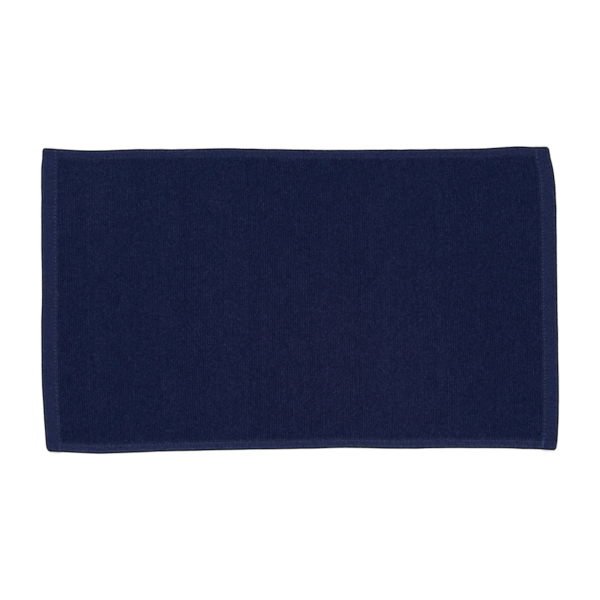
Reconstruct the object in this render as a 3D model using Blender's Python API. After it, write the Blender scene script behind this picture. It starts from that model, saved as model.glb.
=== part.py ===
"""Hemmed golf towel in velour terry, laid flat with its sheared face up.

The origin is on the surface that the towel lies on, below the middle of its outline. +X runs along the
towel, +Y across it and +Z up. All sizes are in metres.
"""

import bisect
import math

import bmesh
import bpy

# Finished outline, from hem edge to hem edge where the towel is longest and widest.
TOWEL_LENGTH = 0.460
TOWEL_WIDTH = 0.273

# Cloth.
WEAVE_THICKNESS = 0.0005
VELOUR_HEIGHT = 0.0008
VELOUR_EDGE_ROUNDING = 0.0004
HEM_LAYERS = 3

# Hems: each is turned twice, and its seam runs just inside the inner fold.
SIDE_HEM_WIDTH = 0.0132
LONG_HEM_WIDTH = 0.0074
SIDE_SEAM_FROM_FOLD = 0.0012
LONG_SEAM_FROM_FOLD = 0.0010
RAW_EDGE_SETBACK = 0.0018

# Sewing thread, and how far a seam ends short of the towel's corner.
THREAD_DIAMETER = 0.0004
SEAM_END_MARGIN = 0.0016

# Room between pieces that lie on or beside each other.
LAYER_GAP = 0.0003
SIDE_GAP = 0.0003

# Stations along the long and the short edges, where the outline may bend.
LONG_STATIONS = 30
SIDE_STATIONS = 22
OUTER_FOLD_STEPS = 4
INNER_FOLD_STEPS = 3

# How far each edge lies inside the outline's box, as (share of the way along the edge, inset). The left and
# right edges run from bottom to top, and the bottom and top edges from left to right.
LEFT_INSETS = (
    (0.00, 0.0050), (0.05, 0.0037), (0.12, 0.0023), (0.22, 0.0008), (0.37, 0.0001), (0.52, 0.0007),
    (0.68, 0.0002), (0.86, 0.0000), (0.93, 0.0001), (0.97, 0.0010), (1.00, 0.0013),
)
RIGHT_INSETS = (
    (0.00, 0.0026), (0.04, 0.0011), (0.10, 0.0001), (0.16, 0.0000), (0.37, 0.0007), (0.50, 0.0013),
    (0.63, 0.0017), (0.80, 0.0023), (0.88, 0.0033), (0.92, 0.0046), (0.96, 0.0072), (1.00, 0.0090),
)
BOTTOM_INSETS = (
    (0.00, 0.0020), (0.06, 0.0007), (0.10, 0.0000), (0.16, 0.0007), (0.22, 0.0017), (0.35, 0.0031),
    (0.53, 0.0045), (0.60, 0.0052), (0.68, 0.0043), (0.81, 0.0049), (0.94, 0.0043), (1.00, 0.0030),
)
TOP_INSETS = (
    (0.00, 0.0016), (0.10, 0.0036), (0.19, 0.0024), (0.26, 0.0026), (0.36, 0.0016), (0.44, 0.0023),
    (0.59, 0.0031), (0.78, 0.0023), (0.87, 0.0017), (0.93, 0.0000), (0.96, 0.0005), (1.00, 0.0005),
)

# Heights above the surface, from the bobbin thread up.
HEM_BASE = THREAD_DIAMETER + LAYER_GAP
LAYER_PITCH = WEAVE_THICKNESS + LAYER_GAP
WEAVE_BASE = HEM_BASE + (HEM_LAYERS - 1) * LAYER_PITCH
WEAVE_TOP = WEAVE_BASE + WEAVE_THICKNESS
LOOP_HEIGHT = WEAVE_BASE - LAYER_GAP
VELOUR_BASE = WEAVE_TOP + LAYER_GAP

# The pile and the unturned weave fill what the hems leave.
FIELD_HALF_LENGTH = TOWEL_LENGTH / 2 - SIDE_HEM_WIDTH - SIDE_GAP
FIELD_HALF_WIDTH = TOWEL_WIDTH / 2 - LONG_HEM_WIDTH - SIDE_GAP

NAVY_VELOUR = (0.0092, 0.0130, 0.0437, 1)
NAVY_WEAVE = (0.0152, 0.0203, 0.0630, 1)
NAVY_THREAD = (0.0260, 0.0330, 0.0950, 1)


def inset_at(insets, share):
    """The inset part of the way along an edge, on a smooth curve through its points."""
    places = [place for place, inset in insets]
    last = len(insets) - 1
    i = min(max(bisect.bisect_right(places, share) - 1, 0), last - 1)

    def slope(k):
        before, after = insets[max(k - 1, 0)], insets[min(k + 1, last)]
        return (after[1] - before[1]) / (after[0] - before[0])

    (x0, y0), (x1, y1) = insets[i], insets[i + 1]
    span = x1 - x0
    s = (share - x0) / span
    return (
        y0 * (1 + 2 * s) * (1 - s) ** 2
        + y1 * (3 - 2 * s) * s**2
        + slope(i) * span * s * (1 - s) ** 2
        - slope(i + 1) * span * s**2 * (1 - s)
    )


def laid(x, y):
    """Where a point of the squarely cut towel lies once its edges have their slight waves."""
    across, up = x / TOWEL_LENGTH + 0.5, y / TOWEL_WIDTH + 0.5
    left, right = inset_at(LEFT_INSETS, up), inset_at(RIGHT_INSETS, up)
    bottom, top = inset_at(BOTTOM_INSETS, across), inset_at(TOP_INSETS, across)
    return x + left * (1 - across) - right * across, y + bottom * (1 - up) - top * up


def fabric_material(name, colour, roughness):
    material = bpy.data.materials.new(name)
    material.use_nodes = True
    shader = material.node_tree.nodes["Principled BSDF"]
    shader.inputs["Base Color"].default_value = colour
    shader.inputs["Roughness"].default_value = roughness
    shader.inputs["Metallic"].default_value = 0
    return material


def add_object(name, data, material, base=0.0):
    """Links a mesh or curve whose heights start at its own base, and parents it to the towel's empty."""
    data.materials.append(material)
    piece = bpy.data.objects.new(name, data)
    piece.location.z = base
    piece.parent = bpy.data.objects["towel"]
    bpy.context.scene.collection.objects.link(piece)
    return piece


def finish_mesh(name, bm, material, base):
    bmesh.ops.recalc_face_normals(bm, faces=bm.faces)
    if bm.calc_volume(signed=True) < 0:
        bmesh.ops.reverse_faces(bm, faces=bm.faces)
    mesh = bpy.data.meshes.new(name)
    bm.to_mesh(mesh)
    bm.free()
    mesh.shade_smooth()
    mesh.set_sharp_from_angle(angle=math.radians(40))
    return add_object(name, mesh, material, base)


def steps(start, end, count):
    return [start + (end - start) * i / count for i in range(count + 1)]


def field_outline():
    """The rectangle inside the hems, as laid, anticlockwise."""
    x, y = FIELD_HALF_LENGTH, FIELD_HALF_WIDTH
    square = [(u, -y) for u in steps(-x, x, LONG_STATIONS)[:-1]]
    square += [(x, v) for v in steps(-y, y, SIDE_STATIONS)[:-1]]
    square += [(u, y) for u in steps(x, -x, LONG_STATIONS)[:-1]]
    square += [(-x, v) for v in steps(y, -y, SIDE_STATIONS)[:-1]]
    return [laid(u, v) for u, v in square]


def field_layer(name, base, thickness, material, rounding=0.0):
    """A layer of the cloth inside the hems: its outline extruded, with the top rim rounded if asked."""
    bm = bmesh.new()
    floor = bm.faces.new([bm.verts.new((x, y, 0)) for x, y in field_outline()])
    raised = bmesh.ops.extrude_face_region(bm, geom=[floor], use_keep_orig=True)["geom"]
    top_verts = [g for g in raised if isinstance(g, bmesh.types.BMVert)]
    bmesh.ops.translate(bm, vec=(0, 0, thickness), verts=top_verts)
    if rounding:
        rim = [e for e in bm.edges if all(v in top_verts for v in e.verts)]
        bmesh.ops.bevel(bm, geom=rim, offset=rounding, segments=2, profile=0.5, affect="EDGES", material=-1)
    return finish_mesh(name, bm, material, base)


def arc(centre_d, centre_z, radius, start, end, count):
    return [
        (centre_d + radius * math.cos(a), centre_z + radius * math.sin(a))
        for a in (math.radians(angle) for angle in steps(start, end, count))
    ]


def hem_section(hem_width):
    """The twice-turned hem cut across, as (distance in from the towel's edge, height) round the cloth.

    The cloth comes in from the field on top, turns under at the outer fold, runs back to the inner fold
    and ends in a raw edge between the two other layers.
    """
    half = WEAVE_THICKNESS / 2
    outer_fold = LAYER_PITCH * (HEM_LAYERS - 1) / 2
    inner_fold = LAYER_PITCH / 2
    outer_centre = (outer_fold + half, half + outer_fold)
    inner_centre = (hem_width - inner_fold - half, half + inner_fold)
    raw_edge = outer_centre[0] + RAW_EDGE_SETBACK
    top, middle = half + 2 * outer_fold, half + 2 * inner_fold
    outside = [(hem_width, top + half)]
    outside += arc(*outer_centre, outer_fold + half, 90, 270, OUTER_FOLD_STEPS)
    outside += arc(*inner_centre, inner_fold + half, -90, 90, INNER_FOLD_STEPS)
    outside.append((raw_edge, middle + half))
    inside = [(hem_width, top - half)]
    inside += arc(*outer_centre, outer_fold - half, 90, 270, OUTER_FOLD_STEPS)
    inside += arc(*inner_centre, inner_fold - half, -90, 90, INNER_FOLD_STEPS)
    inside.append((raw_edge, middle - half))
    return outside + inside[::-1]


def hem(name, hem_width, stations, place, material):
    """A hem's section drawn out along its edge. place(along, inwards) gives a point of the square towel.

    It is drawn one unit for each step between stations, and each ring of points then goes to its station.
    """
    spans = len(stations) - 1
    bm = bmesh.new()
    section = bm.faces.new([bm.verts.new((0, d, z)) for d, z in hem_section(hem_width)])
    drawn = bmesh.ops.extrude_face_region(bm, geom=[section], use_keep_orig=True)["geom"]
    far_verts = [g for g in drawn if isinstance(g, bmesh.types.BMVert)]
    bmesh.ops.translate(bm, vec=(spans, 0, 0), verts=far_verts)
    lengthwise = [e for e in bm.edges if abs(e.verts[0].co.x - e.verts[1].co.x) > spans / 2]
    bmesh.ops.subdivide_edges(bm, edges=lengthwise, cuts=spans - 1, use_grid_fill=True)
    for vert in bm.verts:
        vert.co.x, vert.co.y = laid(*place(stations[round(vert.co.x)], vert.co.y))
    return finish_mesh(name, bm, material, HEM_BASE)


def seam_thread(name, from_edge, half_length, stations, place, height, material):
    """A seam's thread, lying along the hem at its own distance from the towel's edge."""
    curve = bpy.data.curves.new(name, "CURVE")
    curve.dimensions = "3D"
    curve.bevel_depth = THREAD_DIAMETER / 2
    curve.bevel_resolution = 2
    curve.use_fill_caps = True
    spline = curve.splines.new("POLY")
    spline.points.add(stations)
    for point, along in zip(spline.points, steps(-half_length, half_length, stations)):
        point.co = (*laid(*place(along, from_edge)), 0, 1)
    return add_object(name, curve, material, height)


def edge_layouts():
    """Each edge's name, hem width, hem stations, seam's distance from the edge, and the function that
    places a point on the square towel. The side hems run past the field and over the long hems' ends."""
    x, y = TOWEL_LENGTH / 2, TOWEL_WIDTH / 2
    side_stations = [-y, *steps(-FIELD_HALF_WIDTH, FIELD_HALF_WIDTH, SIDE_STATIONS), y]
    long_stations = steps(-FIELD_HALF_LENGTH, FIELD_HALF_LENGTH, LONG_STATIONS)
    side = (SIDE_HEM_WIDTH, side_stations, SIDE_HEM_WIDTH - SIDE_SEAM_FROM_FOLD)
    long_edge = (LONG_HEM_WIDTH, long_stations, LONG_HEM_WIDTH - LONG_SEAM_FROM_FOLD)
    return (
        ("left", *side, lambda along, inwards: (-x + inwards, along)),
        ("right", *side, lambda along, inwards: (x - inwards, along)),
        ("bottom", *long_edge, lambda along, inwards: (along, -y + inwards)),
        ("top", *long_edge, lambda along, inwards: (along, y - inwards)),
    )


def build_towel():
    for old in list(bpy.data.objects):
        bpy.data.objects.remove(old)
    bpy.context.scene.collection.objects.link(bpy.data.objects.new("towel", None))

    velour = fabric_material("navy_velour", NAVY_VELOUR, 0.95)
    loops = fabric_material("navy_loops", NAVY_VELOUR, 1.0)
    weave = fabric_material("navy_weave", NAVY_WEAVE, 0.9)
    thread = fabric_material("navy_thread", NAVY_THREAD, 0.6)

    field_layer("loop_pile", 0.0, LOOP_HEIGHT, loops)
    field_layer("ground_weave", WEAVE_BASE, WEAVE_THICKNESS, weave)
    field_layer("velour_pile", VELOUR_BASE, VELOUR_HEIGHT, velour, VELOUR_EDGE_ROUNDING)

    thread_radius = THREAD_DIAMETER / 2
    needle_height = WEAVE_TOP + LAYER_GAP + thread_radius
    for side, hem_width, stations, seam, place in edge_layouts():
        hem(f"{side}_hem", hem_width, stations, place, weave)
        seam_half = stations[-1] - SEAM_END_MARGIN
        seam_points = len(stations) - 1
        seam_thread(f"{side}_needle_thread", seam, seam_half, seam_points, place, needle_height, thread)
        seam_thread(f"{side}_bobbin_thread", seam, seam_half, seam_points, place, thread_radius, thread)


build_towel()
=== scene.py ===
import math

import bmesh
import bpy
import numpy as np
from mathutils import Matrix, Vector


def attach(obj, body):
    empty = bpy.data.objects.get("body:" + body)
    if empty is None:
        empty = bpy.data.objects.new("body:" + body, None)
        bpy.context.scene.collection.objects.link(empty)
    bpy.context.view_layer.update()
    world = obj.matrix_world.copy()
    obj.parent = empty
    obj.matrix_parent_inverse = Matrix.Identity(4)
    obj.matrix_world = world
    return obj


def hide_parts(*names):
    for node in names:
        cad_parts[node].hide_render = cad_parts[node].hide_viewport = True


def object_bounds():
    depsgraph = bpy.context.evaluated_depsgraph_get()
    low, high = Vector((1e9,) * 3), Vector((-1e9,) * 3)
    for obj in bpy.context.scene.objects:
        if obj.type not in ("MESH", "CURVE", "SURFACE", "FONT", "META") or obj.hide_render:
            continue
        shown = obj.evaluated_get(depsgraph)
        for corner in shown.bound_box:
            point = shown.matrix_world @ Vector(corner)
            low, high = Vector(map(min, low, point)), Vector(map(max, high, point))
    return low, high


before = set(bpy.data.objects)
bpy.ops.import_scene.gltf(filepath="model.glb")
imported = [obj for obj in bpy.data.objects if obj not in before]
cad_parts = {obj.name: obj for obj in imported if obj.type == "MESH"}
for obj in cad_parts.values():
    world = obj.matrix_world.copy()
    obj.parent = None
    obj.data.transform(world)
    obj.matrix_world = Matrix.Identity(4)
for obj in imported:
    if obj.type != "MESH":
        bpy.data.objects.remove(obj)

cadBox = [list(corner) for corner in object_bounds()]
mm = 0.001

# The towel is worked out flat and square first, as it was sewn, and then laid on the table.
towel = {
    "length": cadBox[1][0] - cadBox[0][0],
    "width": cadBox[1][1] - cadBox[0][1],
    "sideHem": 13.2 * mm,
    "longHem": 7.4 * mm,
    "hemRoom": 0.3 * mm,  # between a hem's inner fold and where the pile is at its full height
    "cornerRadii": ((4.0 * mm, 2.6 * mm), (2.6 * mm, 2.8 * mm)),  # bottom and top, left and then right
    "weave": 0.5 * mm,
    "loops": 2.0 * mm,
    "velour": 0.9 * mm,
    "hemLayerGap": 0.06 * mm,
    "droop": (-1 * mm, 11 * mm),  # how far in from a hem the cloth starts and ends to rise
    "puff": 0.7 * mm,
    "puffAtHem": 0.25,  # share of the puff that is left beside a hem
    "puffWaves": 9,
    "puffWavesPerMetre": (3, 14),
    "puffCalm": 5,
    "puffMost": 1.3,
    "alongRoom": 0.48,  # random lines along and across the towel are at least as long as it is
    "acrossRoom": 0.28,
    "seed": 11,
}
halfLength, halfWidth = towel["length"] / 2, towel["width"] / 2
fieldHalfLength = halfLength - towel["sideHem"] - towel["hemRoom"]
fieldHalfWidth = halfWidth - towel["longHem"] - towel["hemRoom"]
hemPitch = towel["weave"] + towel["hemLayerGap"]
hemHeight = 3 * towel["weave"] + 2 * towel["hemLayerGap"]
dice = np.random.default_rng(towel["seed"])


def smoothCurve(places, values):  # a smooth curve through points, for arrays of places along it
    slopes = np.gradient(values, places)

    def at(where):
        where = np.clip(where, places[0], places[-1])
        i = np.clip(np.searchsorted(places, where, side="right") - 1, 0, len(places) - 2)
        span = places[i + 1] - places[i]
        s = (where - places[i]) / span
        level = values[i] * (1 + 2 * s) * (1 - s) ** 2 + values[i + 1] * (3 - 2 * s) * s**2
        return level + slopes[i] * span * s * (1 - s) ** 2 - slopes[i + 1] * span * s**2 * (1 - s)

    return at


def ease(value, start, end):  # 0 before start, 1 after end, and smooth between
    s = np.clip((value - start) / (end - start), 0, 1)
    return s * s * (3 - 2 * s)


def hump(value, centre, reach):
    return np.exp(-(((value - centre) / reach) ** 2))


def wander(length, step, spread):  # a smooth random line: its height at any place from 0 to length
    knots = np.arange(-1, length / step + 3)
    return smoothCurve(knots * step, dice.normal(0, spread, len(knots)))


def meshPoints(mesh):
    points = np.empty(len(mesh.vertices) * 3, np.float32)
    mesh.vertices.foreach_get("co", points)
    return points.reshape(-1, 3).astype(float)


def edgePoints(name, along, side):  # a hem's outermost point at each of its stations, over 3 mm apart
    points = meshPoints(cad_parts[name].data)
    points = points[np.argsort(points[:, along])]
    rings = np.split(points, np.flatnonzero(np.diff(points[:, along]) > 3 * mm) + 1)
    return np.array([ring[np.argmax(side * ring[:, 1 - along])] for ring in rings])


def edgeCurve(points, along):  # place on the table by share of the way along the edge
    start, end = points[0, along], points[-1, along]
    return smoothCurve((points[:, along] - start) / (end - start), points[:, 1 - along])


leftPoints, rightPoints = edgePoints("left_hem", 1, -1), edgePoints("right_hem", 1, 1)
leftEdge, rightEdge = edgeCurve(leftPoints, 1), edgeCurve(rightPoints, 1)
bottomEdge = edgeCurve(np.vstack([leftPoints[:1], edgePoints("bottom_hem", 0, -1), rightPoints[:1]]), 0)
topEdge = edgeCurve(np.vstack([leftPoints[-1:], edgePoints("top_hem", 0, 1), rightPoints[-1:]]), 0)


def puffWave():  # waves to the metre along and across, phase and share
    along = dice.uniform(*towel["puffWavesPerMetre"])
    across = dice.uniform(*towel["puffWavesPerMetre"]) * dice.choice([-1, 1])
    return along, across, dice.uniform(0, 1), dice.uniform(0.5, 1)


puffWaves = [puffWave() for wave in range(towel["puffWaves"])]


def clothHeight(x, y):  # of the ground weave's underside over the table
    fromHem = np.minimum(fieldHalfLength - np.abs(x), fieldHalfWidth - np.abs(y))
    rise = ease(fromHem, *towel["droop"])
    swell = sum(share * np.sin(2 * math.pi * (a * x + b * y + phase)) for a, b, phase, share in puffWaves)
    swell = np.clip(0.5 + swell / towel["puffCalm"], 0, towel["puffMost"])
    puff = towel["puff"] * swell * (towel["puffAtHem"] + (1 - towel["puffAtHem"]) * rise)
    return 2 * hemPitch + (towel["loops"] - 2 * hemPitch) * rise + puff


# Takes points of the flat square towel, with heights over the weave's underside, to where they lie.
# What is squeezed lies between the weave and the table, and is thinner where the weave is lower.
def lay(points, squeezed=False):
    x, y, z = points.T
    radius = np.array(towel["cornerRadii"])[(x > 0).astype(int), (y > 0).astype(int)]
    intoCornerX = np.maximum(np.abs(x) - halfLength + radius, 0)
    intoCornerY = np.maximum(np.abs(y) - halfWidth + radius, 0)
    apart = np.maximum(np.hypot(intoCornerX, intoCornerY), 1e-9)
    shrink = np.where(apart > 1e-8, np.maximum(intoCornerX, intoCornerY) / apart, 1)
    x = x - np.sign(x) * intoCornerX * (1 - shrink)
    y = y - np.sign(y) * intoCornerY * (1 - shrink)
    across, up = x / towel["length"] + 0.5, y / towel["width"] + 0.5
    laidX = leftEdge(up) * (1 - across) + rightEdge(up) * across
    laidY = bottomEdge(across) * (1 - up) + topEdge(across) * up
    base = clothHeight(x, y)
    if squeezed:
        z = np.where(z < 0, z * base / towel["loops"], z)
    return np.stack([laidX, laidY, base + z], axis=1)


class Wire:  # one output of a node, for sums written as Python
    def __init__(self, finish, socket):
        self.finish, self.socket = finish, socket

    def mathNode(self, operation, *values):
        return self.finish.node("ShaderNodeMath", {"operation": operation}, dict(enumerate(values)))

    def __add__(self, other):
        return self.mathNode("ADD", self, other)

    def __rsub__(self, other):
        return self.mathNode("SUBTRACT", other, self)

    def __mul__(self, other):
        return self.mathNode("MULTIPLY", self, other)

    def __truediv__(self, other):
        return self.mathNode("DIVIDE", self, other)

    __radd__ = __add__

    def sine(self):
        return self.mathNode("SINE", self)

    def size(self):
        return self.mathNode("ABSOLUTE", self)

    def floor(self):
        return self.mathNode("FLOOR", self)

    def odd(self):
        return self.mathNode("GREATER_THAN", self.mathNode("WRAP", self, 2.0, 0.0), 0.5)

    def atLeast(self, least):
        return self.mathNode("MAXIMUM", self, least)

    def times(self, scale):  # a colour made lighter or darker
        values = {"Vector": self, "Scale": scale}
        return self.finish.node("ShaderNodeVectorMath", {"operation": "SCALE"}, values)


class Finish:  # a material and its nodes
    def __init__(self, name, roughness, sheen, specular):
        self.material = bpy.data.materials.new(name)
        self.material.use_nodes = True
        self.nodes = self.material.node_tree.nodes
        self.shader = self.nodes["Principled BSDF"]
        fixed = {"Roughness": roughness, "Specular IOR Level": specular}
        fixed |= {"Sheen Weight": sheen, "Sheen Roughness": 0.45, "Sheen Tint": (0.4, 0.45, 0.85, 1)}
        for socket, value in fixed.items():
            self.shader.inputs[socket].default_value = value

    def feed(self, socket, value):
        if isinstance(value, Wire):
            self.material.node_tree.links.new(value.socket, socket)
        else:
            socket.default_value = value

    def node(self, kind, settings=None, values=None, output=0):
        made = self.nodes.new(kind)
        for setting, value in (settings or {}).items():
            setattr(made, setting, value)
        for name, value in (values or {}).items():
            self.feed(made.inputs[name], value)
        return Wire(self, made.outputs[output])

    def mix(self, share, first, second):  # of colours, whose sockets are the seventh and eighth
        kind = {"data_type": "RGBA", "blend_type": "MIX", "clamp_factor": False}
        return self.node("ShaderNodeMix", kind, {0: share, 6: first, 7: second}, 2)

    def noise(self, place, scale, detail=2.0):
        return self.node("ShaderNodeTexNoise", None, {"Vector": place, "Scale": scale, "Detail": detail})

    def ramp(self, value, start, end, most):
        return self.node("ShaderNodeMapRange", None, {0: value, 1: start, 2: end, 3: 0.0, 4: most})

    def place(self):
        return self.node("ShaderNodeTexCoord", output="Object")

    def unwrapped(self, name):  # the piece's own map, as its two directions
        both = self.node("ShaderNodeUVMap", {"uv_map": name})
        split = self.node("ShaderNodeSeparateXYZ", None, {0: both})
        return split, Wire(self, split.socket.node.outputs[1])

    def painted(self, name):
        return self.node("ShaderNodeAttribute", {"attribute_name": name}, output="Fac")

    def bump(self, height, strength, distance):
        values = {"Strength": strength, "Distance": distance, "Height": height}
        self.feed(self.shader.inputs["Normal"], self.node("ShaderNodeBump", None, values))

    def colour(self, value):
        self.feed(self.shader.inputs["Base Color"], value)


dye = {  # each cloth's yarn in full light, which drifts to violet and teal, and deep in its own shade
    "pile": (0.0128, 0.0194, 0.0567, 1),
    "pileViolet": (0.0158, 0.0192, 0.0577, 1),
    "pileTeal": (0.0106, 0.0204, 0.0561, 1),
    "pileDeep": (0.0002, 0.0012, 0.0150, 1),
    "weave": (0.0182, 0.0246, 0.0686, 1),
    "weaveViolet": (0.0200, 0.0242, 0.0692, 1),
    "weaveTeal": (0.0164, 0.0256, 0.0674, 1),
    "weaveDeep": (0.0020, 0.0040, 0.0238, 1),
    "thread": (0.0270, 0.0370, 0.1020, 1),
    "threadDeep": (0.0150, 0.0200, 0.0560, 1),
}


dyeDrifts = {  # details to the metre, where the noise starts and ends to count, and the most it counts
    "violet": (85, 0.42, 0.66, 0.65),
    "teal": (120, 0.45, 0.68, 0.6),
}


# A cloth's colour from its shade, 1 on average. Its lighter end is also greyer, a painted neutral sheen
# on the lighter fibres.
def dyed(finish, place, cloth, shade, warmth=None):
    scale, *counts = dyeDrifts["violet"]
    violet = finish.ramp(finish.noise(place, scale, 1.0), *counts)
    scale, *counts = dyeDrifts["teal"]
    teal = finish.ramp(finish.noise(place, scale, 1.0), *counts)
    light = finish.mix(teal, finish.mix(violet, dye[cloth], dye[cloth + "Violet"]), dye[cloth + "Teal"])
    if warmth:
        light = finish.mix(warmth, light, dye[cloth + "Violet"])
    return finish.mix(shade.atLeast(0.0) * 0.5, dye[cloth + "Deep"], light)


# Each finish's noises, in details to the metre, how much of the shade comes from each, and the strength
# and depth of its relief.
velourLook = {
    "grain": 1500,
    "patches": 75,
    "shares": (0.3, 1.1, 0.3),  # even, of the grain, of the patches
    "fuzz": 4200,
    "bump": (0.35, 0.2 * mm),
}


def velourFinish():
    finish = Finish("navyVelour", roughness=1.0, sheen=0.04, specular=0.03)
    place = finish.place()
    grain = finish.noise(place, velourLook["grain"], 2.0)
    patches = finish.noise(place, velourLook["patches"], 1.0)
    even, ofGrain, ofPatches = velourLook["shares"]
    shade = finish.painted("tone") * (even + grain * ofGrain + patches * ofPatches)
    finish.colour(dyed(finish, place, "pile", shade, finish.painted("warmth")))
    finish.bump(finish.noise(place, velourLook["fuzz"], 2.0), *velourLook["bump"])
    return finish.material


loopLook = {
    "plies": (4.0, 2.0),  # turns along a loop and round it
    "plyShade": 0.2,
    "fuzz": 5200,
    "bump": (0.4, 0.1 * mm),
}


def loopFinish():
    finish = Finish("navyLoops", roughness=1.0, sheen=0.04, specular=0.03)
    along, around = finish.unwrapped("yarn")
    place = finish.place()
    turnsAlong, turnsAround = loopLook["plies"]
    ply = ((along * turnsAlong + around * turnsAround) * (2 * math.pi)).sine()
    shade = finish.painted("tone") * (1.0 + ply * loopLook["plyShade"])
    finish.colour(dyed(finish, place, "pile", shade))
    finish.bump(ply * 0.5 + finish.noise(place, loopLook["fuzz"], 2.0), *loopLook["bump"])
    return finish.material


weaveLook = {
    "yarnPitch": 0.45 * mm,
    "slub": 230,
    "grain": 950,
    "shares": (0.14, 0.4, 3.55, -1.065),  # of the yarns' relief, painted as light on their crowns and shade between them, the slub and the grain, and even
    "blackest": 0.45,  # a tone below this is a fold's own shadow, darker than the dye
    "bump": (0.6, 0.12 * mm),
}


def weaveFinish():
    finish = Finish("navyWeave", roughness=0.95, sheen=0.03, specular=0.04)
    along, across = finish.unwrapped("weave")
    place = finish.place()
    warp, weft = along / weaveLook["yarnPitch"], across / weaveLook["yarnPitch"]
    over = (warp.floor() + weft.floor()).odd()
    # Painted shade: each yarn lighter on its crown and darker where it dips, from the same relief that is
    # the bump's height.
    relief = (warp * math.pi).sine().size() * over + (weft * math.pi).sine().size() * (1 - over)
    slub = finish.noise(place, weaveLook["slub"], 2.0)
    grain = finish.noise(place, weaveLook["grain"], 1.5)
    ofRelief, ofSlub, ofGrain, even = weaveLook["shares"]
    tone = finish.painted("tone")
    shade = tone * (relief * ofRelief + slub * ofSlub + grain * ofGrain + even)
    shadow = finish.ramp(tone, 0.0, weaveLook["blackest"], 1.0)
    finish.colour(dyed(finish, place, "weave", shade).times(shadow))
    finish.bump(relief, *weaveLook["bump"])
    return finish.material


threadLook = {
    "plyPitch": 0.9 * mm,
    "plies": 3,
    "bump": (0.5, 0.08 * mm),
}


def threadFinish():
    finish = Finish("navyThread", roughness=0.6, sheen=0.03, specular=0.12)
    along, around = finish.unwrapped("yarn")
    ply = ((along / threadLook["plyPitch"] + around * threadLook["plies"]) * (2 * math.pi)).sine()
    # Painted shade in the grooves between the plies, lighter on their crowns.
    base = finish.mix(ply * 0.5 + 0.5, dye["threadDeep"], dye["thread"])
    finish.colour(base.times(finish.painted("tone")))
    finish.bump(ply, *threadLook["bump"])
    return finish.material


def setPoints(mesh, points):
    mesh.vertices.foreach_set("co", points.astype(np.float32).ravel())
    mesh.update()


def paint(mesh, name, values):
    layer = mesh.attributes.new(name, "FLOAT", "POINT")
    layer.data.foreach_set("value", np.broadcast_to(values, len(mesh.vertices)).astype(np.float32))


def cornerPoints(mesh):  # the point at each corner of each face
    corners = np.empty(len(mesh.loops), np.int32)
    mesh.loops.foreach_get("vertex_index", corners)
    return corners


def unwrap(mesh, name, u, v):  # from a value at each corner
    both = np.stack([u, v], axis=1)
    mesh.uv_layers.new(name=name).data.foreach_set("uv", both.astype(np.float32).ravel())


def meshOf(bm, name):
    mesh = bpy.data.meshes.new(name)
    bm.to_mesh(mesh)
    bm.free()
    return mesh


def addPiece(name, mesh, material, slot, *nodes):
    mesh.materials.append(material)
    mesh.shade_smooth()
    piece = bpy.data.objects.new(name, mesh)
    bpy.context.scene.collection.objects.link(piece)
    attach(piece, "root")
    if nodes:
        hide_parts(*nodes)
    return piece


# A flat grid with a wall down from its rim and a coarser grid below, for a layer of cloth. The bake map
# has the wall and the grid below in narrow strips of their own.
def closedGrid(name, columns, rows, coarser):
    bm = bmesh.new()
    bmesh.ops.create_grid(bm, x_segments=columns, y_segments=rows, size=0.5)
    rim = [edge for edge in bm.edges if edge.is_boundary]
    wall = bmesh.ops.extrude_edge_only(bm, edges=rim)["geom"]
    low = [part for part in wall if isinstance(part, bmesh.types.BMVert)]
    bmesh.ops.translate(bm, vec=(0, 0, -1), verts=low)
    lowRim = [part for part in wall if isinstance(part, bmesh.types.BMEdge) and part.is_boundary]
    below = bmesh.ops.contextual_create(bm, geom=lowRim)["faces"]
    below = below + list(below[0].edges) + list(below[0].verts)
    for across, segments in (((1, 0, 0), columns), ((0, 1, 0), rows)):
        for line in range(coarser, segments, coarser):
            place = np.array(across) * (line / segments - 0.5)
            cut = {"plane_co": place, "plane_no": across, "dist": 0.1 / segments}
            below = bmesh.ops.bisect_plane(bm, geom=below, **cut)["geom"]
    bmesh.ops.recalc_face_normals(bm, faces=bm.faces)

    def order(face):  # the upper grid, the wall and the grid below, row by row, the same in each run
        middle = face.calc_center_bounds()
        return middle.x + 2 * rows * (middle.y - 4 * middle.z)

    bm.faces.sort(key=order)
    mesh = meshOf(bm, name)

    corners, unit = cornerPoints(mesh), meshPoints(mesh)
    u, v = unit[corners, 0] + 0.5, unit[corners, 1] + 0.5
    lower = unit[corners, 2] < -0.5
    wallStart = 4 * columns * rows
    wallEnd = wallStart + 8 * (columns + rows)
    rim = slice(wallStart, wallEnd)
    sides = [v[rim] < 1e-4, u[rim] > 1 - 1e-4, v[rim] > 1 - 1e-4]
    # How many of the rim's four sides lie behind each corner. The last face ends where the rim starts.
    passed = np.select(sides, [u[rim], 1 + v[rim], 3 - u[rim]], 4 - v[rim]).reshape(-1, 4)
    last = np.ptp(passed, axis=1) > 2
    passed[last] = np.where(passed[last] < 2, 4, passed[last])
    bakeU, bakeV = u.copy(), 0.05 + 0.95 * v
    bakeU[rim], bakeV[rim] = passed.ravel() / 4, 0.03 + 0.01 * ~lower[rim]
    bakeV[wallEnd:] = 0.02 * v[wallEnd:]
    unwrap(mesh, "OFBake", bakeU, bakeV)
    return mesh, unit


groundSheet = {
    "step": 3.2 * mm,
    "coarser": 2,  # its upper side, which the pile covers
    "tuck": 0.3 * mm,  # it runs this far on to the hems
    # painted shade: the weave is darker all over, for its underside between the hanging loops
    "tone": 0.7,
}


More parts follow.
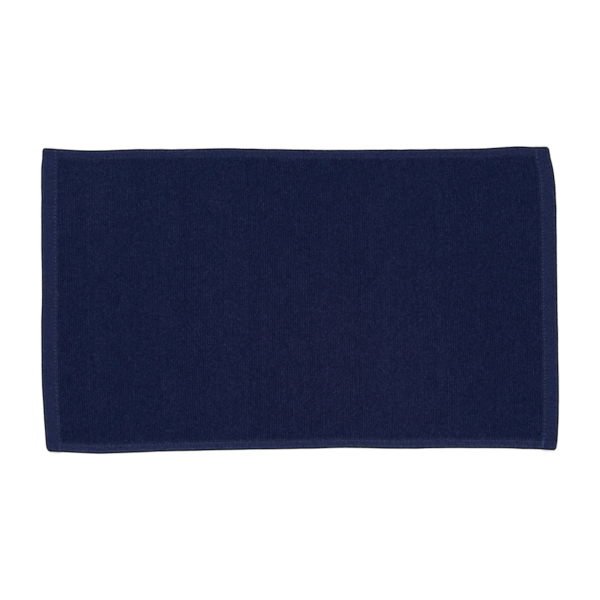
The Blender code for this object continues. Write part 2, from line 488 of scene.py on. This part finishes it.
def makeGroundWeave(material):
    print("ground weave")
    columns = round(2 * fieldHalfLength / groundSheet["step"])
    rows = round(2 * fieldHalfWidth / groundSheet["step"])
    mesh, unit = closedGrid("groundWeave", columns, rows, groundSheet["coarser"])
    reach = [2 * (fieldHalfLength + groundSheet["tuck"]), 2 * (fieldHalfWidth + groundSheet["tuck"])]
    flat = unit * (reach + [-towel["weave"]])
    setPoints(mesh, lay(flat))
    mesh.flip_normals()  # the grid was turned over, so that its fine side is the sheet's underside
    corners = cornerPoints(mesh)
    unwrap(mesh, "weave", flat[corners, 0], flat[corners, 1])
    paint(mesh, "tone", groundSheet["tone"])
    return addPiece("groundWeave", mesh, material, "weave", "ground_weave")


velour = {
    "ribPitch": 2.05 * mm,
    "tuftPitch": 1.1 * mm,  # along a rib
    "coarser": 8,  # its foot, which the weave covers
    "strips": 5,
    "rimTuck": 0.35 * mm,  # its rim closes on the hems' inner folds
    "ribGap": 0.42 * mm,
    "tuftGap": 0.16 * mm,
    "ribMiddle": 0.6,  # share of a tuft's gap that a rib's middle line lies low by
    "ribDepths": (0.6, 1.3),  # the gaps are deeper in some stretches of the towel
    "ribDepthLines": 40,  # lines of the grid from one such stretch to the next
    "tipSpread": 0.07 * mm,
    "tipDrift": 0.13 * mm,
    "between": 0.45,  # share of that drift for what isn't a tuft's tip
    "stillRim": 0.2 * mm,
    "swerve": ((70 * mm, 0.4 * mm), (60 * mm, 0.3 * mm)),  # length and spread, along and across the towel
    "swerveFade": 14 * mm,
    "rimFall": 1.3 * mm,
    "rimFalls": (0.6, 1.2),
    "rimDepth": 0.75,
    "sink": 0.05 * mm,  # its foot stands this far into the weave's face
    "tone": 0.955,
    # painted shade on the pile's foot and the lower part of its rim wall, down against the weave
    "footShade": 0.4,
    "speckle": 0.42,
    "speckleRun": 0.45,  # how much of it carries on along the rib: the shear leaves its marks that way
    "lineSpread": 0.06,
    # painted shade in the rib gaps, along the rib middles and between the tufts, and a painted highlight
    # on the tufts' tips
    "paintedTuftShading": {"ribGap": 0.36, "ribMiddle": 0.06, "tip": -0.08, "tuftGap": 0.05},
    # painted light along the pile's rim beside each hem, where the falling pile lies in shade: how light,
    # and reach
    "paintedRimLight": {"side": (0.8, 1.5 * mm), "top": (0.5, 1.7 * mm), "bottom": (0.95, 2.1 * mm)},
    "drifts": (  # (x, y, reach, lighter or darker)
        (0.060, -0.105, 0.100, 0.13), (-0.190, 0.105, 0.035, 0.14), (-0.010, 0.000, 0.070, 0.05),
        (0.165, 0.010, 0.055, -0.08), (0.190, -0.060, 0.040, -0.05), (-0.150, -0.030, 0.060, -0.05),
        (-0.205, -0.115, 0.030, -0.05), (0.130, 0.105, 0.050, -0.05),
    ),
    "warmest": (0.030, -0.045, 0.125, 0.75),  # (x, y, reach, share)
    "paleReach": 0.75 * mm,
    "paleTufts": (  # (x, y, how much lighter)
        (-0.1827, -0.0470, 2.6), (-0.1197, -0.1171, 1.6), (-0.1348, 0.0896, 1.7), (-0.0111, 0.0122, 1.2),
        (0.0078, -0.0007, 1.0), (0.1956, -0.0975, 1.3),
    ),
}


def makeVelour(material):
    print("velour pile")
    ribs = round(2 * fieldHalfLength / velour["ribPitch"])
    rows = 2 * round(2 * fieldHalfWidth / velour["tuftPitch"])
    bounds = [round(ribs * k / velour["strips"]) for k in range(velour["strips"] + 1)]
    reachX, reachY = fieldHalfLength + velour["rimTuck"], fieldHalfWidth + velour["rimTuck"]
    lines = 4 * ribs + 1
    i, j = np.meshgrid(np.arange(lines), np.arange(rows + 1))
    x = -reachX + i * reachX / (2 * ribs)
    y = -reachY + j * 2 * reachY / rows
    fromSide, fromBottom, fromTop = reachX - np.abs(x), reachY + y, reachY - y
    tipColumn, tipRow = i % 2 == 1, j % 2 == 1
    ribGap, ribMiddle = i % 4 == 0, i % 4 == 2
    fromRim = np.minimum(fromSide, np.minimum(fromBottom, fromTop))
    inside = fromRim > velour["stillRim"]
    slack = np.where(tipColumn & tipRow, 1.0, velour["between"]) * velour["tipDrift"] * inside
    swerveAlong, swerveAcross = velour["swerve"]
    swerve = wander(towel["alongRoom"], *swerveAlong)(x + halfLength)
    swerve = swerve + wander(towel["acrossRoom"], *swerveAcross)(y + halfWidth)
    x = x + swerve * ease(fromSide, 0, velour["swerveFade"])
    x = x + np.clip(dice.normal(0, 0.5, x.shape), -1, 1) * slack
    y = y + np.clip(dice.normal(0, 0.5, y.shape), -1, 1) * slack
    stretch = velour["ribDepthLines"]
    depths = dice.uniform(*velour["ribDepths"], lines // stretch + 2)
    ribDepth = smoothCurve(np.arange(0.0, lines + stretch, stretch), depths)(i[0] * 1.0)
    drop = ribGap * velour["ribGap"] * ribDepth + ribMiddle * velour["tuftGap"] * velour["ribMiddle"]
    drop = drop + ~tipRow * velour["tuftGap"]
    height = towel["weave"] + towel["velour"] - drop + dice.normal(0, velour["tipSpread"], x.shape)
    rimFall = 1 - ease(fromRim, 0, velour["rimFall"] * dice.uniform(*velour["rimFalls"], x.shape))
    height = height - rimFall * towel["velour"] * velour["rimDepth"]

    speckle = dice.normal(0, 1, x.shape)
    speckle[1:] = speckle[1:] + velour["speckleRun"] * speckle[:-1]
    speckle = speckle / speckle.std()
    lineTone = velour["lineSpread"] * dice.normal(0, 1, lines)
    tone = velour["tone"] * np.exp(velour["speckle"] * speckle + lineTone[None, :])
    # Painted shade in the pile's recesses and a painted highlight on its tips, following the ribs and
    # tufts drawn above.
    paintedTuftShading = velour["paintedTuftShading"]
    shade = paintedTuftShading["ribGap"] * ribGap + paintedTuftShading["ribMiddle"] * ribMiddle
    shade = shade + paintedTuftShading["tip"] * (tipColumn & tipRow) + paintedTuftShading["tuftGap"] * ~tipRow
    tone = tone * (1 - shade)
    # Painted light along the rim, against the shade where the pile falls towards the hems.
    for far, name in ((fromSide, "side"), (fromTop, "top"), (fromBottom, "bottom")):
        strength, reach = velour["paintedRimLight"][name]
        tone = tone * (1 + strength * hump(far, 0, reach))
    for middleX, middleY, reach, strength in velour["drifts"]:
        tone = tone * (1 + strength * hump(np.hypot(x - middleX, y - middleY), 0, reach))
    for middleX, middleY, strength in velour["paleTufts"]:
        tone = tone * (1 + strength * hump(np.hypot(x - middleX, y - middleY), 0, velour["paleReach"]))
    middleX, middleY, reach, most = velour["warmest"]
    warmth = most * hump(np.hypot(x - middleX, y - middleY), 0, reach)

    pieces = []
    for k in range(velour["strips"]):
        first, last = 4 * bounds[k], 4 * bounds[k + 1]
        mesh, unit = closedGrid(f"velourPile{k + 1}", last - first, rows, velour["coarser"])
        column = np.rint((unit[:, 0] + 0.5) * (last - first)).astype(int) + first
        row = np.rint((unit[:, 1] + 0.5) * rows).astype(int)
        foot = unit[:, 2] < -0.5
        flat = np.stack([x[row, column], y[row, column], height[row, column]], axis=1)
        flat[foot, 2] = towel["weave"] - velour["sink"]
        setPoints(mesh, lay(flat))
        paint(mesh, "tone", np.where(foot, velour["footShade"], tone[row, column]))
        paint(mesh, "warmth", warmth[row, column])
        nodes = ["velour_pile"] if k == 0 else []
        pieces.append(addPiece(f"velourPile{k + 1}", mesh, material, "velour", *nodes))
    return pieces


loopPile = {
    "ribPitch": 2.05 * mm,
    "rowPitch": 2.05 * mm,
    "strips": 4,
    "yarn": 0.7 * mm,  # radius
    "span": 0.85 * mm,  # half way across a loop
    "lean": 0.5,  # spread
    "nap": 0.35,  # the way that all of them lean
    "turn": 0.8,
    "steps": 4,
    "strayX": 0.10 * mm,
    "strayY": 0.16 * mm,
    "lengths": (0.78, 1.0),
    "splay": 0.25,  # how much wider a loop is at its end
    "root": 0.12 * mm,  # a loop starts this far up in the weave
    "rimGap": 0.1 * mm,
    # random for each loop, and set well above 1: painted light that lifts loops hanging in the towel's
    # own shade
    "tones": (1.75, 3.5),
    # painted shade near where each loop leaves the weave
    "rootShade": 0.35,
    "cell": 0.9,  # share of its cell of the bake map that a loop fills
}


def loopTemplate():  # one loop hanging from the weave: a small ring of yarn spun half round
    bm = bmesh.new()
    ring = bmesh.ops.create_circle(bm, segments=3, radius=loopPile["yarn"])["verts"]
    bmesh.ops.rotate(bm, verts=ring, cent=(0, 0, 0), matrix=Matrix.Rotation(-math.pi / 2, 3, "Z"))
    bmesh.ops.translate(bm, vec=(loopPile["span"], 0, 0), verts=ring)
    turn = {"cent": (0, 0, 0), "axis": (0, 1, 0), "angle": math.pi, "steps": loopPile["steps"]}
    bmesh.ops.spin(bm, geom=list(bm.edges), **turn)
    bmesh.ops.holes_fill(bm, edges=[edge for edge in bm.edges if edge.is_boundary], sides=3)
    bmesh.ops.recalc_face_normals(bm, faces=bm.faces)
    return meshOf(bm, "loop")


def loopMap(mesh, shape):  # for each corner of each face, how far along the yarn and round it, as shares
    corners = cornerPoints(mesh)
    along = np.abs(np.arctan2(shape[:, 2], shape[:, 0])) / math.pi
    outwards = np.hypot(shape[:, 0], shape[:, 2]) - loopPile["span"]
    side = np.select([shape[:, 1] > 0.1 * mm, outwards < 0], [0, 1], 2)[corners]
    u, v = 0.94 * along[corners], side / 3
    for face in mesh.polygons:
        own = list(face.loop_indices)
        if len(own) == 3:
            u[own] = u[own[0]] + [0.0, 0.05, 0.0]
        elif {0, 2} <= set(side[own]):
            v[own] = np.where(side[own] == 0, 1.0, v[own])
    return u, v


def arrayed(mesh, columns, rows):  # copies in rows, for the points of each to be placed afterwards
    source = bpy.data.objects.new("loopSource", mesh)
    bpy.context.scene.collection.objects.link(source)
    for count, axis in ((columns, 0), (rows, 1)):
        copies = source.modifiers.new("rows", "ARRAY")
        copies.count = count
        copies.use_relative_offset = False
        copies.use_constant_offset = True
        copies.constant_offset_displace = [0.01 if axis == side else 0 for side in range(3)]
        copies.use_merge_vertices = False
    bpy.context.view_layer.update()
    made = bpy.data.meshes.new_from_object(source.evaluated_get(bpy.context.evaluated_depsgraph_get()))
    bpy.data.objects.remove(source)
    return made


def makeLoops(material):
    print("loop pile")
    template = loopTemplate()
    shape = meshPoints(template)
    yarnU, yarnV = loopMap(template, shape)
    ribs = round(2 * fieldHalfLength / loopPile["ribPitch"])
    rows = round(2 * fieldHalfWidth / loopPile["rowPitch"])
    ribPitch, rowPitch = 2 * fieldHalfLength / ribs, 2 * fieldHalfWidth / rows
    bounds = [round(ribs * k / loopPile["strips"]) for k in range(loopPile["strips"] + 1)]
    pieces = []
    for k in range(loopPile["strips"]):
        columns = bounds[k + 1] - bounds[k]
        mesh = arrayed(template, columns, rows)
        copies = columns * rows
        column, row = np.tile(np.arange(columns), rows), np.repeat(np.arange(rows), columns)
        middleX = -fieldHalfLength + (column + bounds[k] + 0.5) * ribPitch
        middleX = middleX + dice.normal(0, loopPile["strayX"], copies)
        middleY = -fieldHalfWidth + (row + 0.5 + 0.25 * (column % 2 * 2 - 1)) * rowPitch
        middleY = middleY + dice.normal(0, loopPile["strayY"], copies)
        yaw = dice.normal(math.pi / 2, loopPile["turn"], copies)[:, None]
        drop = towel["loops"] * dice.uniform(*loopPile["lengths"], copies)
        leanX = dice.normal(0, loopPile["lean"], copies)
        leanY = dice.normal(loopPile["nap"], loopPile["lean"], copies)
        across, beside, down = shape[:, 0], shape[:, 1], -shape[:, 2] / -shape[:, 2].min()
        hanging = np.clip(down, 0, 1)
        across = across * (1 + loopPile["splay"] * hanging)
        localX = across * np.cos(yaw) - beside * np.sin(yaw)
        localY = across * np.sin(yaw) + beside * np.cos(yaw)
        fall = down[None, :] * drop[:, None]
        x = middleX[:, None] + localX + leanX[:, None] * fall
        y = middleY[:, None] + localY + leanY[:, None] * fall
        limitX, limitY = fieldHalfLength - loopPile["rimGap"], fieldHalfWidth - loopPile["rimGap"]
        x, y = np.clip(x, -limitX, limitX), np.clip(y, -limitY, limitY)
        flat = np.stack([x.ravel(), y.ravel(), loopPile["root"] - fall.ravel()], axis=1)
        setPoints(mesh, lay(flat, squeezed=True))
        unwrap(mesh, "yarn", np.tile(yarnU, copies), np.tile(yarnV, copies))
        cellU = (column[:, None] + loopPile["cell"] * yarnU) / columns
        cellV = (row[:, None] + loopPile["cell"] * yarnV) / rows
        unwrap(mesh, "OFBake", cellU.ravel(), cellV.ravel())
        # Painted shade, darkest at each loop's root by the weave.
        shade = loopPile["rootShade"] + (1 - loopPile["rootShade"]) * hanging
        tone = dice.uniform(*loopPile["tones"], copies)[:, None] * shade
        paint(mesh, "tone", tone.ravel())
        nodes = ["loop_pile"] if k == 0 else []
        pieces.append(addPiece(f"loopPile{k + 1}", mesh, material, "loops", *nodes))
    return pieces


hems = {
    "station": 0.7 * mm,
    "topStep": 0.3 * mm,
    "undersideStep": 0.9 * mm,
    "hiddenCoarser": 4,
    "creaseAngle": 55,
    "rawEdge": 1.8 * mm,
    "crown": 0.12 * mm,
    "ripple": 0.10 * mm,
    "rippleStep": 2.1 * mm,
    "edgeWaver": 0.08 * mm,
    "waverStep": 9.5 * mm,
    "waverFade": (1.5 * mm, 9 * mm),
    "cornerThickness": 0.45,  # more where a side hem covers a long one
    "cornerStep": (-0.6 * mm, 1.4 * mm),
    "seamPinch": 0.62,
    "pinchBetween": 0.45,  # share of the pinch that is left between two holes
    "seamReach": 0.75 * mm,
    "strayStep": 5.0 * mm,
    "tuckUnder": 1.2 * mm,  # a long hem's end runs this far on under a side hem
    "foldShade": 0.97,
    "foldReach": (1.3 * mm, 1.7 * mm),
    "shoulderHighlight": (1.35, 2.1 * mm, 0.44 * mm),  # painted highlight along the outer fold's shoulder: how light, place from the fold and reach
    "puckerHighlight": (2.9, 0.35 * mm, 0.9 * mm),  # painted highlight on each pucker: how light, how far inside the seam and reach
    "puckerLevels": (0.45, 1.45),
    "pitShade": (0.55, 0.8 * mm),  # painted shade in the needle's holes: how dark, and reach
    "tackReach": 0.8 * mm,
    "tackSpan": (2.0 * mm, 8.4 * mm),  # from a hem's end
    "tackFade": 0.8 * mm,
    # painted light along the inner fold, against the shade that the pile casts there: how light, and
    # reach
    "innerPaintedLight": (0.5, 1.2 * mm),
    "overFold": (0.3, 0.1),  # how light a side hem is where a long hem's fold lies under it: bottom, top
    "overFoldReach": 0.5 * mm,
    "overHem": (0.14, 0.04),  # and all over that hem's end
    "overHemFade": (-0.8 * mm, 0.4 * mm),
    "facing": (0.55, 0.95),  # shares of the hem's height from which it counts as its face
    "upper": (0.05, 0.6),  # and as its upper part
}
# Stitch length and place from the inner fold in mm, straying in stitches, how strongly the painted
# highlights on the puckers and painted shade in the holes show and how light the thread is, the tone of
# the cloth, and how light the back-tacks are at the two ends.
seams = {
    "left": {
        "pitch": 3.32, "fromFold": 0.85, "stray": 0.06, "bright": 1.0, "tone": 1.0, "tacks": (0.6, 0.4),
    },
    "right": {
        "pitch": 2.95, "fromFold": 0.55, "stray": 0.2, "bright": 1.5, "tone": 1.0, "tacks": (1.4, 0.6),
    },
    "bottom": {
        "pitch": 2.95, "fromFold": 1.3, "stray": 0.15, "bright": 0.4, "tone": 1.38, "tacks": (0, 0),
    },
    "top": {
        "pitch": 2.95, "fromFold": 1.0, "stray": 0.15, "bright": 0.25, "tone": 1.07, "tacks": (0, 0),
    },
}
longHalf = fieldHalfLength + hems["tuckUnder"]
edges = {  # hem width, half its length, and how (along, inwards) becomes a place on the square towel
    "left": (towel["sideHem"], halfWidth, lambda along, inwards: (-halfLength + inwards, along)),
    "right": (towel["sideHem"], halfWidth, lambda along, inwards: (halfLength - inwards, along)),
    "bottom": (towel["longHem"], longHalf, lambda along, inwards: (along, -halfWidth + inwards)),
    "top": (towel["longHem"], longHalf, lambda along, inwards: (along, halfWidth - inwards)),
}
ripples = {side: wander(towel["alongRoom"], hems["rippleStep"], 1.0) for side in seams}
wavers = {side: wander(towel["alongRoom"], hems["waverStep"], 1.0) for side in seams}
strays = {side: wander(towel["alongRoom"], hems["strayStep"], seams[side]["stray"]) for side in seams}
stitchCount = 400  # more than any seam has
stitchLevels = {side: dice.uniform(*hems["puckerLevels"], stitchCount) for side in seams}


def arc(centre, radius, start, end, count):
    turns = np.radians(np.linspace(start, end, count))
    return np.stack([centre[0] + radius * np.cos(turns), centre[1] + radius * np.sin(turns)], axis=1)


def run(start, end, height, step):  # evenly spaced points of a flat stretch, without its ends
    count = max(round(abs(end - start) / step), 1)
    return np.stack([np.linspace(start, end, count + 1)[1:-1], np.full(count - 1, height)], axis=1)


# The twice-turned hem cut across: (distance from the towel's edge, height over the table), all round.
def hemSection(width):
    thick, pitch = towel["weave"], hemPitch
    outerRadius, innerRadius = pitch, pitch / 2
    outer = (outerRadius + thick / 2, outerRadius + thick / 2)
    inner = (width - innerRadius - thick / 2, innerRadius + thick / 2)
    raw = outer[0] + hems["rawEdge"]
    top, fine, coarse = hemHeight, hems["topStep"], hems["undersideStep"]
    hidden = hems["hiddenCoarser"] * coarse
    parts = [
        np.array([[width, top]]),
        run(width, outer[0], top, fine),
        arc(outer, outerRadius + thick / 2, 90, 270, count=9),
        run(outer[0], inner[0], 0, coarse),
        arc(inner, innerRadius + thick / 2, -90, 90, count=7),
        run(inner[0], raw, pitch + thick, hidden),
        np.array([[raw, pitch + thick], [raw, pitch]]),
        run(raw, inner[0], pitch, hidden),
        arc(inner, max(innerRadius - thick / 2, 0.02 * mm), 90, -90, count=4),
        run(inner[0], outer[0], thick, hidden),
        arc(outer, outerRadius - thick / 2, 270, 90, count=5),
        run(outer[0], width, top - thick, hidden),
        np.array([[width, top - thick]]),
    ]
    return np.vstack(parts)


def stitchPhase(side, along):  # whole numbers at the needle's holes
    return along / (seams[side]["pitch"] * mm) + strays[side](along + edges[side][1])


def seamLine(side):  # its distance from the towel's edge
    return edges[side][0] - seams[side]["fromFold"] * mm


# Where a point of a hem's square section goes on the puckered hem, still on the square towel. Its height
# is given over the table and returned over the weave's underside.
def hemShape(side, along, inwards, height):
    width, half, place = edges[side]
    middle = hemHeight / 2
    beat = 0.5 + 0.5 * np.cos(2 * math.pi * stitchPhase(side, along))
    pinch = hems["pinchBetween"] + (1 - hems["pinchBetween"]) * beat**2
    pull = hump(inwards, seamLine(side), hems["seamReach"]) * pinch
    crown = hems["crown"] * np.sin(math.pi * np.clip(inwards / width, 0, 1))
    ripple = hems["ripple"] * ripples[side](along + half) * ease(inwards, 0, width * 0.5)
    share = np.clip(height / hemHeight, 0, 1)
    height = middle + (height - middle) * (1 - hems["seamPinch"] * pull) + share * (crown + ripple)
    fromEnd = half - np.abs(along)
    if side in ("left", "right"):
        start, end = hems["cornerStep"]
        covering = 1 - ease(fromEnd, towel["longHem"] + start, towel["longHem"] + end)
        height = height * (1 + hems["cornerThickness"] * covering)
    waver = hems["edgeWaver"] * wavers[side](along + half) * (1 - ease(inwards, 0, width))
    x, y = place(along, inwards + waver * ease(fromEnd, *hems["waverFade"]))
    return np.stack([x, y, height - 2 * hemPitch], axis=1)


# A grid drawn round into a closed tube: its rows go round and its columns go along.
def sewnTube(name, flatRing, tones, alongPlaces, aroundPlaces, mapName):
    rows, columns = flatRing.shape[0], flatRing.shape[1]
    bm = bmesh.new()
    bmesh.ops.create_grid(bm, x_segments=columns - 1, y_segments=rows - 1, size=0.5)
    mesh = meshOf(bm, name)
    setPoints(mesh, flatRing.reshape(-1, 3))
    corners = cornerPoints(mesh)
    u, v = np.tile(alongPlaces, rows)[corners], np.repeat(aroundPlaces, columns)[corners]
    unwrap(mesh, mapName, u, v)
    unwrap(mesh, "OFBake", 0.02 + 0.98 * (u - u.min()) / np.ptp(u), (v - v.min()) / np.ptp(v))
    paint(mesh, "tone", tones.ravel())
    bm = bmesh.new()
    bm.from_mesh(mesh)
    seam = [vert for vert in bm.verts if vert.is_boundary]
    bmesh.ops.remove_doubles(bm, verts=seam, dist=0.0005 * mm)
    ends = [edge for edge in bm.edges if edge.is_boundary]
    caps = bmesh.ops.holes_fill(bm, edges=ends, sides=0)["faces"]
    bakeMap = bm.loops.layers.uv["OFBake"]
    for k, cap in enumerate(caps):  # a small round of the bake map for each end
        for corner, turn in zip(cap.loops, np.linspace(0, 2 * math.pi, len(cap.loops), endpoint=False)):
            corner[bakeMap].uv = (0.01 + 0.008 * math.cos(turn), 0.02 + 0.03 * k + 0.012 * math.sin(turn))
    bmesh.ops.recalc_face_normals(bm, faces=bm.faces)
    if bm.calc_volume(signed=True) < 0:
        bmesh.ops.reverse_faces(bm, faces=bm.faces)
    bm.to_mesh(mesh)
    bm.free()
    return mesh


def tackGlow(side, along):  # light at the back-tacks near a seam's two ends
    fromEnd = edges[side][1] - np.abs(along)
    start, end = hems["tackSpan"]
    nearEnd = ease(end - fromEnd, 0, hems["tackFade"]) * (fromEnd > start)
    return nearEnd * np.where(along < 0, *seams[side]["tacks"])


# Painted highlights on the puckers between the stitches and on the outer fold's shoulder, painted shade
# in the needle's holes and round the outer fold, and painted light along the inner fold.
def hemTone(side, along, inwards, height):
    width, half = edges[side][:2]
    look = seams[side]
    low, high = hems["facing"]
    facing = ease(height, low * hemHeight, high * hemHeight)
    phase = stitchPhase(side, along)
    beat = np.cos(2 * math.pi * phase)
    level = stitchLevels[side][np.floor(phase).astype(int) + stitchCount // 2]
    light, shift, reach = hems["puckerHighlight"]
    puckerHighlight = light * level * hump(inwards, seamLine(side) + shift, reach) * np.clip(-beat, 0, 1)
    dark, reach = hems["pitShade"]
    pitShade = dark * hump(inwards, seamLine(side), reach) * np.clip(beat, 0, 1)
    tack = tackGlow(side, along) * hump(inwards, seamLine(side), hems["tackReach"])
    # Painted light along the inner fold, against the pile's shade there.
    light, reach = hems["innerPaintedLight"]
    tone = 1 + facing * (look["bright"] * (puckerHighlight - pitShade) + tack + light * hump(inwards, width, reach))
    fromEdge = inwards
    if side in ("left", "right"):  # the long hem shows through, and the end is an outer edge too
        over = half - np.abs(along) - towel["longHem"]
        atFold, overHem = np.where(along < 0, *hems["overFold"]), np.where(along < 0, *hems["overHem"])
        tone = tone * (1 + facing * atFold * hump(over, 0, hems["overFoldReach"]))
        tone = tone * (1 + overHem * (1 - ease(over, *hems["overHemFade"])))
        fromEdge = np.minimum(inwards, half - np.abs(along))
    low, high = hems["upper"]
    upper = ease(height, low * hemHeight, high * hemHeight)
    # Painted shade round the outer fold, on the hem's upper part.
    fold = (1 - ease(fromEdge, *hems["foldReach"])) * upper
    # Painted highlight on the shoulder inside the outer fold.
    light, middle, reach = hems["shoulderHighlight"]
    shoulderHighlight = light * hump(fromEdge, middle, reach) * facing
    return look["tone"] * (tone * (1 - hems["foldShade"] * fold) + shoulderHighlight)


def makeHem(side, material):
    print(side, "hem")
    width, half = edges[side][:2]
    section = hemSection(width)
    section = np.vstack([section, section[:1]])
    columns = round(2 * half / hems["station"]) + 1
    stations = np.linspace(-half, half, columns)
    along = np.tile(stations, len(section))
    inwards, height = np.repeat(section[:, 0], columns), np.repeat(section[:, 1], columns)
    laid = lay(hemShape(side, along, inwards, height)).reshape(len(section), columns, 3)
    tones = hemTone(side, along, inwards, height).reshape(len(section), columns)
    around = np.concatenate([[0], np.cumsum(np.hypot(*np.diff(section, axis=0).T))])
    mesh = sewnTube(f"{side}Hem", laid, tones, stations, around, "weave")
    piece = addPiece(f"{side}Hem", mesh, material, "weave", f"{side}_hem")
    mesh.set_sharp_from_angle(angle=math.radians(hems["creaseAngle"]))
    return piece


thread = {
    "radius": 0.19 * mm,
    "pointsPerStitch": 10,
    "sides": 6,
    "endMargin": 1.6 * mm,
    "tackStitches": 2,
    "tackShift": 0.42 * mm,
    "tackGlow": 0.6,
    "dim": 0.55,
    "lit": 0.5,
    "holeShade": 0.5,
    "stray": 0.07 * mm,
    "strayStep": 2.3 * mm,
    "dive": 0.62 * mm,
    "lift": 0.05 * mm,
    "proud": 0.8,  # share of its radius that its middle stands out by between two holes
    "offTable": 0.01 * mm,
}


def seamRoute(side):  # places along the edge and beside the seam, with a back-tack at each end
    half = edges[side][1] - thread["endMargin"]
    stitch = seams[side]["pitch"] * mm
    step, tack = stitch / thread["pointsPerStitch"], stitch * thread["tackStitches"]
    count, back = round(2 * half / step), round(tack / step)
    startTack = np.linspace(-half + tack, -half, back)[:-1]
    endTack = np.linspace(half, half - tack, back)[1:]
    along = np.concatenate([startTack, np.linspace(-half, half, count), endTack])
    beside = np.concatenate([np.ones(back - 1), np.zeros(count), -np.ones(back - 1)])
    beside = np.convolve(np.pad(beside, 1, mode="edge"), [0.25, 0.5, 0.25], mode="valid")
    return along, beside * thread["tackShift"]


def makeSeam(side, material, onTop):
    kind = "NeedleThread" if onTop else "BobbinThread"
    print(side, kind)
    along, beside = seamRoute(side)
    stray = wander(towel["alongRoom"], thread["strayStep"], thread["stray"])
    inwards = seamLine(side) + beside + stray(along + edges[side][1])
    sewn = hemShape(side, along, inwards, np.full(along.shape, hemHeight if onTop else 0.0))
    beat = 0.5 + 0.5 * np.cos(2 * math.pi * stitchPhase(side, along))
    outwards = thread["lift"] + thread["radius"] * thread["proud"] - thread["dive"] * beat**6
    sewn[:, 2] += outwards if onTop else -outwards
    middle = lay(sewn)
    if not onTop:
        middle[:, 2] = np.maximum(middle[:, 2], thread["radius"] + thread["offTable"])
    heading = np.gradient(middle, axis=0)
    heading = heading / np.linalg.norm(heading, axis=1)[:, None]
    sideways = np.cross(heading, [0, 0, 1.0])
    sideways = sideways / np.linalg.norm(sideways, axis=1)[:, None]
    upwards = np.cross(sideways, heading)
    turns = np.linspace(0, 2 * math.pi, thread["sides"] + 1)
    rings = [middle + thread["radius"] * (math.cos(t) * sideways + math.sin(t) * upwards) for t in turns]
    rings[-1] = rings[0]
    path = np.concatenate([[0], np.cumsum(np.linalg.norm(np.diff(middle, axis=0), axis=1))])
    tone = thread["dim"] + thread["lit"] * seams[side]["bright"] * (1 - thread["holeShade"] * beat**3)
    tone = tone * (1 + thread["tackGlow"] * tackGlow(side, along))
    tones = np.broadcast_to(tone, (len(rings), len(path)))
    mesh = sewnTube(f"{side}{kind}", np.stack(rings), tones, path, turns / (2 * math.pi), "yarn")
    node = f"{side}_needle_thread" if onTop else f"{side}_bobbin_thread"
    return addPiece(f"{side}{kind}", mesh, material, "thread", node)


studio = {
    "frameWidth": 0.53208,  # what the camera sees across at the towel's face
    "lens": 100,
    "sky": 1.22,
    "floorTone": 0.9,
    "floorRoughness": 0.9,
    "floorRadius": 4.0,
    "floorDrop": 0.02 * mm,
    "keyEnergy": 5.0,
    "keySize": 1.0,
    "keyPlace": (-0.5, 0.6, 1.5),
}


def makeStudio():
    print("studio")
    bm = bmesh.new()
    bmesh.ops.create_circle(bm, cap_ends=True, segments=64, radius=studio["floorRadius"])
    floor = bpy.data.objects.new("floor", meshOf(bm, "floor"))
    bpy.context.scene.collection.objects.link(floor)
    floor.location.z = -studio["floorDrop"]
    paper = bpy.data.materials.new("palePaper")
    paper.use_nodes = True
    paperShader = paper.node_tree.nodes["Principled BSDF"]
    paperShader.inputs["Base Color"].default_value = (studio["floorTone"],) * 3 + (1,)
    paperShader.inputs["Roughness"].default_value = studio["floorRoughness"]
    floor.data.materials.append(paper)

    world = bpy.data.worlds.new("studioAir")
    world.use_nodes = True
    sky = world.node_tree.nodes["Background"]
    sky.inputs["Color"].default_value = (1, 1, 1, 1)
    sky.inputs["Strength"].default_value = studio["sky"]
    bpy.context.scene.world = world

    key = bpy.data.lights.new("softbox", "AREA")
    key.shape, key.size, key.energy = "SQUARE", studio["keySize"], studio["keyEnergy"]
    keyObject = bpy.data.objects.new("softbox", key)
    keyObject.location = studio["keyPlace"]
    keyObject.rotation_euler = (-keyObject.location).to_track_quat("-Z", "Y").to_euler()
    bpy.context.scene.collection.objects.link(keyObject)

    camera = bpy.data.cameras.new("camera")
    camera.lens = studio["lens"]
    camera.clip_start, camera.clip_end = 0.05, 20
    cameraObject = bpy.data.objects.new("camera", camera)
    face = towel["loops"] + towel["weave"] + towel["velour"]
    cameraObject.location = (0, 0, face + studio["frameWidth"] * studio["lens"] / camera.sensor_width)
    bpy.context.scene.collection.objects.link(cameraObject)
    bpy.context.scene.camera = cameraObject
    bpy.context.scene.view_settings.view_transform = "Standard"


def buildScene():
    makeStudio()
    velourMaterial, loopMaterial = velourFinish(), loopFinish()
    weaveMaterial, threadMaterial = weaveFinish(), threadFinish()
    ground = makeGroundWeave(weaveMaterial)
    sewn = makeVelour(velourMaterial) + makeLoops(loopMaterial)
    for side in seams:
        sewn.append(makeHem(side, weaveMaterial))
        sewn.append(makeSeam(side, threadMaterial, True))
        sewn.append(makeSeam(side, threadMaterial, False))


buildScene()
